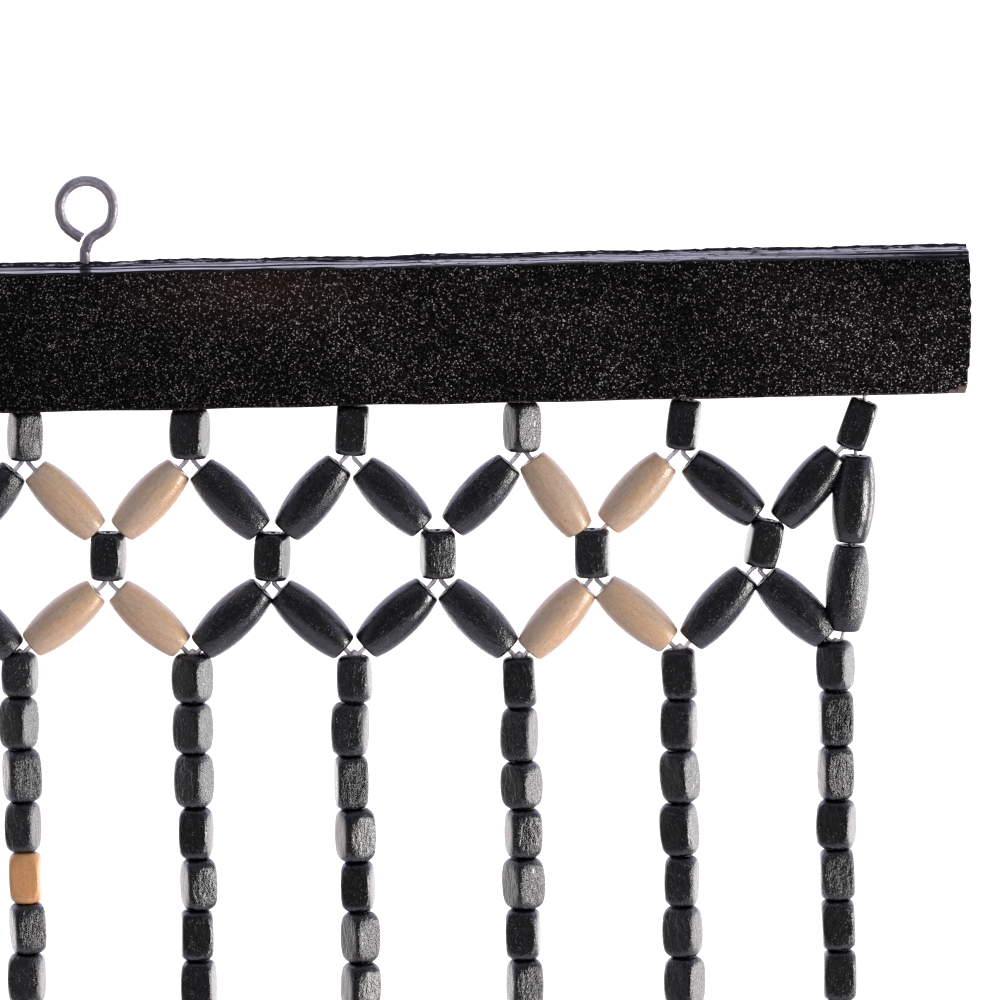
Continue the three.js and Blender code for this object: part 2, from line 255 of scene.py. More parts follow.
def naturalBeadMaterial():
    look = naturalBeadLook
    plain = {"Coat Weight": look["coat"], "Coat Roughness": look["coatRoughness"]}
    material, tree, shader = newMaterial("clearLacqueredBeads", plain)
    own = attribute(tree, "beadPlace", "Vector")
    tone = attribute(tree, "beadTone")
    grain = noiseOf(tree, stretched(tree, own, 1, 1, 0.14), 1.5, 4, 0.65)
    cloud = noiseOf(tree, stretched(tree, own, 1, 1, 0.3), 0.22, 2, 0.5)
    fine = noiseOf(tree, stretched(tree, own, 1, 1, 0.6), 3.2, 4, 0.75)
    body = mixColour(tree, ramp(tree, cloud, 0.40, 0.60), look["pale"], look["warm"])
    body = mixColour(tree, remap(tree, tone, 0.6, 0.9, 0, 0.9), body, look["orange"])
    lines = ramp(tree, grain, 0.30, 0.60, look["lineShade"])
    body = mixColour(tree, 0.5, body, mixColour(tree, 1.0, body, lines, "MULTIPLY"))
    mottle = ramp(tree, fine, 0.32, 0.66, *look["mottle"])
    body = mixColour(tree, 0.8, body, mixColour(tree, 1.0, body, mottle, "MULTIPLY"))
    dots = specks(tree, stretched(tree, own, 1, 1, 0.6), 1.0, 0.10, 0.15)
    body = mixColour(tree, dots, body, look["pore"])
    linked(tree, body, shader, "Base Color")
    linked(tree, remap(tree, fine, 0.3, 0.7, *look["roughness"]), shader, "Roughness")
    rough = bump(tree, fine, look["grain"], look["grainDepth"])
    linked(tree, rough, shader, "Normal")
    linked(tree, rough, shader, "Coat Normal")
    return material


# places in millimetres; specular and roughness are of the dull faces and of the gloss on top
barLook = {
    "black": (0.0012, 0.0011, 0.0011), "brown": (0.0110, 0.0056, 0.0038), "poreDustAndGlint": (0.95, 0.93, 0.94),
    "bare": (0.16, 0.135, 0.13), "matt": (0.012, 0.012, 0.016, 1), "brownAt": (298, -6, -22),
    "poreDustAndGlintFrom": (240, 0.4), "poreDustAndGlintTo": (380, 1.2), "smallDustAndGlint": 0.05,
    "patchFrom": 443, "patchTo": 451, "patchHeight": 2.6,
    "thinHeight": 0.55, "thinFrom": 340, "thinTo": 430,
    "crackWidth": 0.034, "tornFrom": 2.6, "tornBy": 3.0, "flakeBehindEye": 0.7, "flake": 2.9,
    "specular": (0.04, 1.0), "roughness": (0.6, 0.12), "mattShare": 0.85,
}


# Black stain on rough wood: grain along X, pale specks in its pores that are partly bare pores and
# partly painted glints, glossy streaks on top.
def barMaterial():
    look = barLook
    material, tree, shader = newMaterial("blackStainedBar")
    place = addNode(tree, "TexCoord").outputs["Object"]
    inMm = stretched(tree, place, 1000, 1000, 1000)
    topside = attribute(tree, "topSide")
    axis = linked(tree, inMm, addNode(tree, "SeparateXYZ"), "Vector").outputs
    lines = noiseOf(tree, stretched(tree, inMm, 0.03, 1.2, 1.2), 1.6, 5, 0.65)
    cloud = noiseOf(tree, stretched(tree, inMm, 0.7, 1, 1), 0.030, 3)
    offset = addNode(tree, "VectorMath", {1: look["brownAt"]}, operation="SUBTRACT")
    linked(tree, inMm, offset, 0)
    away = addNode(tree, "VectorMath", operation="LENGTH")
    linked(tree, stretched(tree, offset.outputs[0], 0.030, 0.05, 0.10), away, 0)
    stain = remap(tree, maths(tree, "ADD", away.outputs["Value"], lines), 1.5, 0.6)
    body = mixColour(tree, stain, look["black"], look["brown"])
    # pale specks on the sides: partly bare pores, partly painted glints of light caught in the pores
    coarse = maths(tree, "POWER", specks(tree, inMm, 3.3, 0.5, 0.35), 3.0)
    small = specks(tree, inMm, 5.6, 0.6, 0.40)
    poreDustAndGlint = maths(tree, "MAXIMUM", coarse, times(tree, small, look["smallDustAndGlint"]))
    poreDustAndGlint = times(tree, poreDustAndGlint, remap(tree, cloud, 0.36, 0.60, 0.3, 1.15))
    (fromX, fromShare), (toX, toShare) = look["poreDustAndGlintFrom"], look["poreDustAndGlintTo"]
    poreDustAndGlint = times(tree, poreDustAndGlint, remap(tree, axis["X"], fromX, toX, fromShare, toShare))
    side = maths(tree, "SUBTRACT", 1.0, topside)
    body = mixColour(tree, times(tree, poreDustAndGlint, side), body, look["poreDustAndGlint"])
    # the stain is worn off at the lower right-hand corner and thin along the lower edge near it
    above = maths(tree, "SUBTRACT", axis["Z"], net["barTop"] - net["barHeight"])
    worn = noiseOf(tree, inMm, 0.7, 4, 0.7)
    start, end = look["patchFrom"], look["patchTo"]
    high = remap(tree, axis["X"], start, end, 0, look["patchHeight"])
    high = maths(tree, "ADD", high, remap(tree, worn, 0.3, 0.7, -1.0, 1.0))
    patch = times(tree, remap(tree, maths(tree, "SUBTRACT", high, above), 0, 0.7),
                  remap(tree, axis["X"], start, start + 2))
    thin = times(tree, remap(tree, above, look["thinHeight"], look["thinHeight"] - 0.3),
                 remap(tree, worn, 0.42, 0.58))
    toRight = remap(tree, axis["X"], look["thinFrom"], look["thinTo"], 0.15, 0.7)
    thin = times(tree, thin, toRight)
    body = mixColour(tree, maths(tree, "MAXIMUM", patch, thin), body, look["bare"])
    linked(tree, body, shader, "Base Color")
    # on top: long thin dark cracks, a torn matt strip along the back edge, gloss on the rest
    streaks = noiseOf(tree, stretched(tree, inMm, 0.004, 0.34, 0.34), 0.9, 3, 0.6)
    contour = maths(tree, "ABSOLUTE", maths(tree, "SUBTRACT", streaks, 0.49))
    crack = maths(tree, "LESS_THAN", contour, look["crackWidth"])
    rag = noiseOf(tree, stretched(tree, inMm, 0.22, 0.4, 0.4), 1.4, 5, 0.75)
    raggedness = remap(tree, rag, 0.3, 0.7, -look["tornBy"], look["tornBy"])
    edge = maths(tree, "ADD", axis["Y"], raggedness)
    torn = remap(tree, edge, look["tornFrom"], look["tornFrom"] + 0.8)
    fleck = times(tree, remap(tree, rag, 0.56, 0.60),
                  remap(tree, axis["X"], 290, 340, 0.2, 0.9))
    # a flake of stain has come off round each screw eye
    besideEye = maths(tree, "SUBTRACT", maths(tree, "ABSOLUTE", axis["X"]), eye["x"])
    besideEye = maths(tree, "ABSOLUTE", times(tree, besideEye, 0.5))
    behindEye = maths(tree, "SUBTRACT", axis["Y"], eye["y"] + look["flakeBehindEye"])
    flake = maths(tree, "ADD", besideEye, maths(tree, "ABSOLUTE", behindEye))
    flake = maths(tree, "ADD", flake, remap(tree, rag, 0.3, 0.7, -1.2, 1.2))
    torn = maths(tree, "MAXIMUM", torn, remap(tree, flake, look["flake"], look["flake"] - 0.6))
    dull = maths(tree, "MAXIMUM", maths(tree, "MAXIMUM", crack, torn), fleck)
    gloss = times(tree, topside, maths(tree, "SUBTRACT", 1.0, dull))
    linked(tree, remap(tree, gloss, 0, 1, *look["specular"]), shader, "Specular IOR Level")
    linked(tree, remap(tree, gloss, 0, 1, *look["roughness"]), shader, "Roughness")
    linked(tree, bump(tree, lines, 0.2, 0.00010), shader, "Normal")
    # the dull parts have no sheen even at a grazing look
    black = addNode(tree, "BsdfDiffuse", {"Color": look["matt"]})
    both = addNode(tree, "MixShader")
    mattPart = times(tree, topside, dull)
    linked(tree, times(tree, mattPart, look["mattShare"]), both, 0)
    linked(tree, shader.outputs[0], both, 1)
    linked(tree, black.outputs[0], both, 2)
    linked(tree, both.outputs[0], tree.nodes["Material Output"], 0)
    return material


steelLook = {"colour": (0.50, 0.475, 0.52), "dark": (0.19, 0.175, 0.21), "metallic": 0.5,
             "roughness": 0.38, "grain": 0.5, "grainDepth": 0.00012}


def steelMaterial():
    look = steelLook
    plain = {"Metallic": look["metallic"], "Roughness": look["roughness"]}
    material, tree, shader = newMaterial("zincedWire", plain)
    own = attribute(tree, "wirePlace", "Vector")
    drawn = noiseOf(tree, stretched(tree, own, 0.25, 1.6, 1.6), 1.6, 4, 0.6)
    spots = noiseOf(tree, stretched(tree, own, 1, 1, 1), 1.4, 3, 0.6)
    body = mixColour(tree, ramp(tree, drawn, 0.36, 0.66), look["dark"], look["colour"])
    body = mixColour(tree, ramp(tree, spots, 0.60, 0.72), body, look["dark"])
    linked(tree, body, shader, "Base Color")
    linked(tree, bump(tree, drawn, look["grain"], look["grainDepth"]), shader, "Normal")
    return material


threadLook = {"clear": (0.86, 0.82, 0.86), "milky": (0.97, 0.94, 0.97), "roughness": 0.25, "ior": 1.5,
              "transmission": 0.3}


def threadMaterial():
    look = threadLook
    plain = {"Roughness": look["roughness"], "IOR": look["ior"],
             "Transmission Weight": look["transmission"]}
    material, tree, shader = newMaterial("clearNylon", plain)
    place = addNode(tree, "TexCoord").outputs["Object"]
    body = mixColour(tree, noiseOf(tree, place, 900, 2), look["clear"], look["milky"])
    linked(tree, body, shader, "Base Color")
    return material


# The lattice: the same sizes and the same unevenness as the solids have, in millimetres

net = {"strings": 25, "width": 900, "margin": 24, "spacing": 35.5, "barTop": -16.7, "barHeight": 31,
       "topBead": 36.9, "crossing": 64.0, "stringTop": 85.5, "beads": 172, "pitch": 11.1,
       "naturalEvery": 3, "naturalFirst": 1, "uneven": (0.7, 0.4, 3)}

# shift to the right, lift, lean of the top to the right, turn that shows the right-hand flat, corner
# radius
topBeads = {
    19: (-0.8, 0.2, 2, -25, 4.3), 20: (-0.9, -0.1, 2, 18, 4.9), 21: (-1.6, 0.0, 5, 2, 4.55),
    22: (-0.6, -0.1, 1, -33, 4.35), 23: (-1.4, -0.3, 8, 11, 4.4), 24: (0.3, -1.0, 20, 4, 4.2),
}
crossingBeads = {
    19: (-1.5, 1.0, 2, 12, 4.6), 20: (-1.7, 0.2, 3, 20, 4.35), 21: (-1.6, 0.0, 1, -13, 4.65),
    22: (-3.7, -0.5, -1, 8, 4.8), 23: (-2.4, 0.9, 13, -11, 4.5),
}
stringTops = {
    19: (-3.3, 1.3), 20: (-1.6, 0.5), 21: (-2.2, -0.4),
    22: (-2.2, -1.5), 23: (-3.1, -0.5), 24: (-5.0, 0.0),
}
# first beads of the strings nearest to the right-hand end, from the top: shift from the even string
# place, length, corner radius, turn that shows the right-hand flat, lean of the top to the right
firstBeads = {
    19: [(-3.4, 8.9, 4.6, 12, 1), (-3.9, 11.4, 4.55, 30, 1),
         (-3.5, 11.4, 4.9, -19, -1), (-3.7, 11.1, 4.4, 20, 1)],
    20: [(-1.7, 10.2, 4.7, 32, 1), (-1.9, 11.0, 4.65, 28, 1),
         (-2.0, 11.8, 4.55, 30, 1), (-1.8, 11.3, 4.3, 14, 1)],
    21: [(-2.3, 9.9, 4.6, 10, 0), (-3.5, 11.6, 4.8, 12, 1),
         (-3.6, 11.6, 4.6, -10, 1), (-2.9, 11.5, 4.85, -26, 0)],
    22: [(-2.3, 10.7, 4.65, 3, -2), (-2.5, 11.7, 4.65, 20, 2),
         (-2.3, 10.3, 4.7, 37, -1), (-2.1, 10.8, 4.6, -18, 1)],
    23: [(-3.2, 10.6, 4.7, 6, -3), (-3.6, 11.0, 4.8, 14, 1),
         (-3.6, 11.5, 4.55, 33, -4), (-3.9, 11.6, 4.6, 23, -4)],
    24: [(-5.1, 9.9, 4.6, 25, -1), (-5.2, 12.0, 4.8, -5, 1),
         (-5.4, 11.8, 4.45, -17, 1), (-5.4, 10.7, 5.0, 18, 1)],
}
# how much higher the first bead of these strings begins than its solid
firstRise = {19: 0.8, 20: 0.6, 21: 0.3, 22: 0.4, 23: 0.45, 24: 1.0}
drift = {"top": -0.6, "crossing": -1.2, "string": -1.5}


# Even steps that never repeat, from -1 to 1, stand in for chance.
def chance(n, step):
    return ((n * step + 0.37) % 1) * 2 - 1


def hang(table, n, shift):
    right, up, lean = net["uneven"]
    if n in table:
        return table[n]
    return (shift + right * chance(n, 0.618034), up * chance(n, 0.754878), lean * chance(n, 0.56984),
            26 * chance(n, 0.41421), 4.6 + 0.2 * chance(n, 0.32471))


def stringX(i):
    return -net["width"] / 2 + net["margin"] + i * net["spacing"]


squareBead = {"length": 10.4, "belly": 4.6, "end": 0.79, "flat": 0.76, "sharp": 24, "fillet": (1.5, 1.9),
              "bore": 1.2, "tone": (0.3, 1), "facetAngles": (-37.5, -30, 0, 30, 37.5),
              "cornerAngles": (39.5, 42.2, 45, 47.8, 50.5), "bodyRows": 8}
ovalBead = {"length": 18.6, "belly": 4.78, "naturalBelly": 4.62, "end": 0.68, "fillet": (0.55, 0.6),
            "bore": 1.1, "tone": (0.2, 0.66), "around": 30, "bodyRows": 11, "spread": (0.12, 0.07)}


# Middle, lean, turn, size and the two hole mouths of a square bead, as an (x, z) pair each.
def placed(x, z, offset):
    right, up, lean, turn, belly = offset
    lean = math.radians(lean)
    axis = np.array([math.sin(lean), math.cos(lean)])
    middle = np.array([x + right, z + up])
    half = squareBead["length"] / 2
    return {"middle": middle, "lean": lean, "turn": turn, "belly": belly, "length": squareBead["length"],
            "top": middle + axis * half, "bottom": middle - axis * half}


def lattice():
    top = net["barTop"]
    tops = [placed(stringX(i), top - net["topBead"], hang(topBeads, i, drift["top"]))
            for i in range(net["strings"])]
    crossings = [placed(stringX(j) + net["spacing"] / 2, top - net["crossing"],
                        hang(crossingBeads, j, drift["crossing"])) for j in range(net["strings"] - 1)]
    strings = []
    for i in range(net["strings"]):
        right, up = hang(stringTops, i, drift["string"])[:2]
        strings.append({"top": np.array([stringX(i) + right, top - net["stringTop"] + up])})
    return tops, crossings, strings


# The point that stands out to the side of a mouth and above it, turned with the bead's lean.
def beside(mouth, lean, out, up):
    right, high = math.cos(lean), math.sin(lean)
    return mouth + np.array([out * right + up * high, up * right - out * high])


# how far an oval's end stands beside and above the mouth that its thread leaves
stand = {"underTop": (2.3, -2.2), "aboveCrossing": (2.8, 0.35), "underCrossing": (2.1, -2.1),
         "aboveString": (2.2, 1.9), "sideTop": (1.6, -1.8), "sideBottom": (1.9, 3.1), "thread": 0.6}


def ovalBetween(upper, upperKey, upperSide, lower, lowerKey, lowerSide, natural):
    (upMouth, upLean), (lowMouth, lowLean) = upper, lower
    high = beside(upMouth, upLean, stand[upperKey][0] * upperSide, stand[upperKey][1])
    low = beside(lowMouth, lowLean, stand[lowerKey][0] * lowerSide, stand[lowerKey][1])
    axis = (high - low) / np.linalg.norm(high - low)
    middle, half = (high + low) / 2, ovalBead["length"] / 2
    high, low = middle + axis * half, middle - axis * half
    route = [upMouth + [0, 2.5], beside(upMouth, upLean, stand["thread"] * upperSide, 0), high, low,
             beside(lowMouth, lowLean, 1.5 * stand["thread"] * lowerSide, -0.3), lowMouth - [0, 3]]
    return {"natural": natural, "middle": middle, "high": high, "low": low, "route": route}


def ovals(tops, crossings, strings):
    found = []
    for j, crossing in enumerate(crossings):
        natural = (net["strings"] - 2 - j) % net["naturalEvery"] == net["naturalFirst"]
        over = (crossing["top"], crossing["lean"])
        under = (crossing["bottom"], crossing["lean"])
        for n, side in ((j, 1), (j + 1, -1)):
            hung = (tops[n]["bottom"], tops[n]["lean"])
            string = (strings[n]["top"], 0.0)
            upper = ovalBetween(hung, "underTop", side, over, "aboveCrossing", -side, natural)
            lower = ovalBetween(under, "underCrossing", -side, string, "aboveString", side, natural)
            found += [upper, lower]
    for n, side in ((0, -1), (net["strings"] - 1, 1)):
        mouth, string = tops[n]["bottom"], strings[n]["top"]
        high = beside(mouth, 0, stand["sideTop"][0] * side, stand["sideTop"][1])
        low = beside(string, 0, stand["sideBottom"][0] * side, stand["sideBottom"][1])
        axis = (high - low) / np.linalg.norm(high - low)
        length = ovalBead["length"]
        ends = [high, high - axis * length, low + axis * length, low]
        route = [mouth + [0, 2.5], mouth, *ends, string, string - [0, 2.5]]
        for first, second, way in ((*ends[:2], route), (*ends[2:], None)):
            found.append({"natural": False, "middle": (first + second) / 2, "high": first, "low": second,
                          "route": way})
    return found


# Bead surfaces

# Radius and height of every bead at each step round it and along it. The body is an arc of an ellipse
# carried round the thread; on a square bead four flats cut it, joined to it by a soft minimum. A quarter
# circle rounds each end in, then the outline turns over the end and down the bore.
def beadGrid(bead, length, belly, seed, square):
    rng = np.random.default_rng(seed)
    count = len(length)
    half, belly = length[:, None, None] / 2, belly[:, None, None]
    if square:
        quarter = np.array([*bead["facetAngles"], *bead["cornerAngles"]])
        angle = np.radians((np.arange(4)[:, None] * 90 + quarter[None]).reshape(-1))
    else:
        angle = np.linspace(0, 2 * math.pi, bead["around"], endpoint=False)
    inner, along = bead["fillet"]
    turn = np.radians([0, 22, 42, 60, 76, 90])
    body = np.linspace(-1, 1, bead["bodyRows"])[None, :, None] * (half - along)
    rise = along * np.sin(turn)[None, :, None] + half - along
    height = np.concatenate([-rise[:, :0:-1], body, rise[:, 1:]], 1)
    inward = np.concatenate([inner * (1 - np.cos(turn[:0:-1])), np.zeros(bead["bodyRows"]),
                             inner * (1 - np.cos(turn[1:]))])[None, :, None]
    t = np.clip(height / half, -1, 1)
    skin = belly * np.sqrt(1 - (1 - bead["end"] ** 2) * t ** 2)
    bow = rng.normal(0, 0.008, (count, 3))
    waves = sum(bow[:, k, None, None] * np.cos((k + 1) * angle + rng.uniform(0, 6.28, (count, 1, 1)))
                for k in range(3))
    skin = skin * (1 + waves * (1 + 0.5 * t)) - inward
    if square:
        soft = bead["sharp"]
        flats = bead["flat"] * belly * (1 + rng.normal(0, 0.025, (count, 4)))[:, None, :]
        total = skin ** -soft
        for k in range(4):
            facing = np.cos(angle - k * math.pi / 2)
            tilt = 1 + rng.normal(0, 0.022, (count, 1, 1)) * t
            away = np.where(facing > 0.3, flats[..., k:k + 1] * tilt / np.maximum(facing, 0.3), 1e3)
            total = total + away ** -soft
        skin = total ** (-1 / soft)
    skin = skin + 0 * angle
    bore = bead["bore"]
    rims = [skin[:, -1:] * share + bore * (1 - share) for share in (0.75, 0.4)]
    lowRims = [skin[:, :1] * share + bore * (1 - share) for share in (0.4, 0.75)]
    ring = np.full_like(rims[0], bore)
    end = half + 0 * ring
    radius = np.concatenate([skin, *rims, ring, ring, ring, ring, *lowRims], 1)
    turnedIn = [end, end, end - 0.15, end - 2, 2 - end, 0.15 - end, -end, -end]
    height = np.concatenate([height + 0 * skin, *turnedIn], 1)
    return radius, height, angle


# One mesh of many beads, each given by its middle (x, z), lean in radians, turn in degrees, length and
# belly radius.
def beadMesh(name, bead, beads, seed, square, material):
    count = len(beads)
    middle = np.array([b["middle"] for b in beads], float)
    lean = np.array([b["lean"] for b in beads])[:, None, None]
    turn = -np.radians([b["turn"] for b in beads])[:, None, None]
    length = np.array([b["length"] for b in beads])
    belly = np.array([b["belly"] for b in beads])
    radius, height, angle = beadGrid(bead, length, belly, seed, square)
    across = radius * np.cos(angle + turn)
    front = radius * np.sin(angle + turn)
    rng = np.random.default_rng(seed + 1)
    y = rng.normal(0, 0.1, (count, 1, 1))
    x = middle[:, 0, None, None] + across * np.cos(lean) + height * np.sin(lean)
    z = middle[:, 1, None, None] - across * np.sin(lean) + height * np.cos(lean)
    verts = np.stack([x, y + front, z], -1).reshape(-1, 3) * mm
    cell = quadStrip(radius.shape[1], len(angle), True, True)[:, ::-1]
    faces = (cell[None] + (np.arange(count) * radius[0].size)[:, None, None]).reshape(-1, 4)
    own = np.stack([radius * np.cos(angle), radius * np.sin(angle), height], -1)
    own = own + rng.uniform(-200, 200, (count, 1, 1, 3))
    tone = np.broadcast_to(rng.uniform(*bead["tone"], (count, 1, 1)), radius.shape)
    # the bead ends and the bore, which the black beads paint in near-black shade
    paintedEndShade = np.clip((np.abs(height) - (length / 2)[:, None, None] + 0.5) / 0.4, 0, 1)
    attributes = {"beadPlace": own.reshape(-1, 3), "beadTone": tone.reshape(-1),
                  "beadEndShade": paintedEndShade.reshape(-1)}
    return newPiece(name, verts, faces, material, attributes)


# spreads of size, turn, lean and place stand for hand work
farBead = {"angles": (-31, 31), "rows": (-1, -0.6, 0, 0.6, 1), "end": 0.76, "size": 0.03, "turn": 0.8,
           "lean": 0.02, "sideways": 0.18, "deep": 0.15, "gap": 0.1}


# Small square beads of 34 faces: the same barrel and flats, read at eight steps round and five along.
def farBeadMesh(name, places, seed, material):
    rng = np.random.default_rng(seed)
    count = len(places)
    bead = squareBead
    middle = np.array(places, float)
    t = np.array(farBead["rows"])[None, :, None]
    quarter = np.radians(np.array(farBead["angles"]))
    angle = (np.arange(4)[:, None] * math.pi / 2 + quarter[None]).reshape(-1)
    size = 1 + rng.normal(0, farBead["size"], (count, 1, 1))
    skin = bead["belly"] * np.sqrt(1 - (1 - farBead["end"] ** 2) * t ** 2) * size
    corner = bead["flat"] * bead["belly"] * size / math.cos(quarter[1])
    radius = np.minimum(skin, corner) * np.ones((1, 1, 8))
    turn = rng.uniform(-farBead["turn"], farBead["turn"], (count, 1, 1))
    lean = rng.normal(0, farBead["lean"], (count, 1, 1))
    across, front = radius * np.cos(angle + turn), radius * np.sin(angle + turn)
    height = t * (net["pitch"] - farBead["gap"]) / 2 * np.ones_like(radius)
    sideways = rng.normal(0, farBead["sideways"], (count, 1, 1))
    x = middle[:, 0, None, None] + sideways + across + height * lean
    z = middle[:, 1, None, None] + height - across * lean
    y = front + rng.normal(0, farBead["deep"], (count, 1, 1))
    verts = np.stack([x, y, z], -1).reshape(-1, 3) * mm
    start = (np.arange(count) * 40)[:, None, None]
    cell = quadStrip(5, 8, False, True)[None]
    caps = np.stack([np.arange(8)[::-1], np.arange(32, 40)])[None]
    own = np.stack([radius * np.cos(angle), radius * np.sin(angle), height], -1)
    own = own + rng.uniform(-200, 200, (count, 1, 1, 3))
    tone = np.broadcast_to(rng.uniform(0, 1, (count, 1, 1)), radius.shape)
    attributes = {"beadPlace": own.reshape(-1, 3), "beadTone": tone.reshape(-1)}
    faces = [(cell + start).reshape(-1, 4), (caps + start).reshape(-1, 8)]
    return newPiece(name, verts, faces, material, attributes, smooth=False)


# Tubes along a path: nylon thread, wire

# A smooth path through the points: cubic runs whose slope at each point follows its neighbours.
def tubePath(points, perRun):
    p = np.array(points, float)
    ahead = np.vstack([p[1:], 2 * p[-1] - p[-2]])
    behind = np.vstack([2 * p[0] - p[1], p[:-1]])
    slope = (ahead - behind) / 2
    u = np.linspace(0, 1, perRun, endpoint=False)[None, :, None]
    a, b = p[:-1, None], p[1:, None]
    da, db = slope[:-1, None], slope[1:, None]
    path = ((2 * u ** 3 - 3 * u ** 2 + 1) * a + (u ** 3 - 2 * u ** 2 + u) * da
            + (3 * u ** 2 - 2 * u ** 3) * b + (u ** 3 - u ** 2) * db)
    return np.vstack([path.reshape(-1, p.shape[1]), p[-1:]])


# A round tube along a path in the XZ plane, as rings of points.
def flatTube(path, y, radius, around):
    along = np.gradient(path, axis=0)
    along /= np.linalg.norm(along, axis=1)[:, None]
    side = np.stack([along[:, 1], -along[:, 0]], -1)
    angle = np.linspace(0, 2 * math.pi, around, endpoint=False)
    radius = np.broadcast_to(radius, len(path))[:, None]
    x = path[:, :1] + side[:, :1] * radius * np.cos(angle)
    z = path[:, 1:] + side[:, 1:] * radius * np.cos(angle)
    return np.stack([x, y + radius * np.sin(angle), z], -1)


thread = {"radius": 0.52, "knot": 0.45, "lowRadius": 0.45, "lowKnot": 0.85, "around": 8, "tail": 4.2}


# All the thread in one mesh: a tube through each oval, one above each top bead, knots at both ends of
# each string.
def threadMesh(material):
    rings = []
    around = thread["around"]
    for oval in ovalList:
        if oval["route"] is not None:
            rings.append(flatTube(tubePath(oval["route"], 5), 0.0, thread["radius"], around))
    inBar = net["barTop"] - net["barHeight"] + 3
    for bead in tops:
        path = np.array([bead["top"] - [0, 2], bead["top"], [bead["top"][0], inBar]])
        rings.append(flatTube(path, 0.0, thread["radius"], around))
    steps = np.linspace(0, 1, 9)
    for string in strings:
        path = string["top"] + np.stack([0 * steps, 3.6 * steps - 2], -1)
        knot = thread["knot"] * np.exp(-((steps - 0.72) / 0.2) ** 2)
        rings.append(flatTube(path, 0.0, thread["radius"] + knot - 0.4 * (steps > 0.99), around))
        low = string["top"] - [0, net["beads"] * net["pitch"]]
        path = low + [0, 1.5] - np.stack([0 * steps, thread["tail"] * steps], -1)
        knot = thread["lowKnot"] * np.exp(-((steps - 0.72) / 0.16) ** 2)
        rings.append(flatTube(path, 0.0, thread["lowRadius"] + knot, around))
    verts, quads, caps, start = [], [], [], 0
    for ring in rings:
        rows = len(ring)
        verts.append(ring.reshape(-1, 3))
        quads.append(quadStrip(rows, around, False, True)[:, ::-1] + start)
        caps.append(np.stack([np.arange(around), np.arange(around)[::-1] + (rows - 1) * around]) + start)
        start += rows * around
    faces = [np.vstack(quads), np.vstack(caps)]
    return newPiece("nylonThread", np.vstack(verts) * mm, faces, material)


# Screw eyes

eye = {"x": 262, "y": 2.5, "wire": 1.17, "solidWire": 1.12, "ring": 5.75, "shank": -0.65, "inBar": 12,
       "around": 20, "perRun": 6}


# One bent wire: cut end at the lower left, round over the top, down the neck and into the bar.
def eyeMesh(name, node, side, material):
    turn = np.radians(np.arange(180, -1, -15))
    ring = np.stack([eye["ring"] * np.cos(turn), eye["ring"] * np.sin(turn)], -1)
    centre = eye["solidWire"] - eye["ring"]
    foot = net["barTop"] - eye["inBar"] - centre
    start = [(-1.15, -6.55), (-2.7, -5.55), (-4.0, -4.5), (-4.95, -3.3), (-5.55, -1.75)]
    neck = [(5.55, -1.75), (5.0, -3.3), (4.2, -4.4), (3.05, -5.25), (1.5, -6.05), (0.35, -7.15),
            (-0.35, -8.9), (eye["shank"], -10.5), (eye["shank"], foot)]
    path = tubePath(np.vstack([start, ring, neck]), eye["perRun"])
    length = np.concatenate([[0], np.cumsum(np.linalg.norm(np.diff(path, axis=0), axis=1))])
    worn = 1 + 0.012 * np.sin(length * 1.9) + 0.008 * np.sin(length * 4.3)
    rings = flatTube(path + [side * eye["x"], centre], eye["y"], eye["wire"] * worn, eye["around"])
    rows, around = rings.shape[0], eye["around"]
    angle = np.linspace(0, 2 * math.pi, around, endpoint=False)
    own = np.stack(np.broadcast_arrays(length[:, None], np.cos(angle), np.sin(angle)), -1).reshape(-1, 3)
    ends = [rings[row].mean(0) + (rings[row] - rings[row].mean(0)) * 0.93 for row in (0, rows - 1)]
    verts = np.vstack([rings.reshape(-1, 3), *ends])
    own = np.vstack([own, own[:around], own[-around:]])
    base = rows * around
    c = np.arange(around)
    n = (c + 1) % around
    first = np.stack([c, n, base + n, base + c], -1)
    last = np.stack([base - around + n, base - around + c, base + around + c, base + around + n], -1)
    rims = np.vstack([first, last])
    caps = np.stack([base + c, (base + around + c)[::-1]])
    faces = [np.vstack([quadStrip(rows, around, False, True)[:, ::-1], rims]), caps]
    piece = newPiece(name, verts * mm, faces, material, {"wirePlace": own})
    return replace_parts(piece, node)


# Bar

# rounds and runs go from the lower back corner up, over the top and down the front; a run is the number
# of points between two corners
bar = {"width": 900, "depth": 12, "slope": 1.1, "step": 1.2, "fineStep": 0.4, "rough": 0.07,
       "torn": 0.16, "nicks": 0.12, "mound": 1.0, "rounds": (0.7, 0.4, 0.6, 0.5), "runs": (5, 14, 36, 4),
       "roundBack": 1.4, "roundDown": 0.7, "roundHigh": 3.2, "endRings": (0.93, 0.78, 0.58, 0.36, 0.16)}


# A sum of sine waves of seeded lengths and phases, about -1 to 1.
def ripple(x, seed, waves, shortest, longest):
    rng = np.random.default_rng(seed)
    lengths = np.exp(rng.uniform(math.log(shortest), math.log(longest), waves))
    phases = rng.uniform(0, 2 * math.pi, waves)
    return np.sin(x[..., None] * 2 * math.pi / lengths + phases).sum(-1) / math.sqrt(waves)


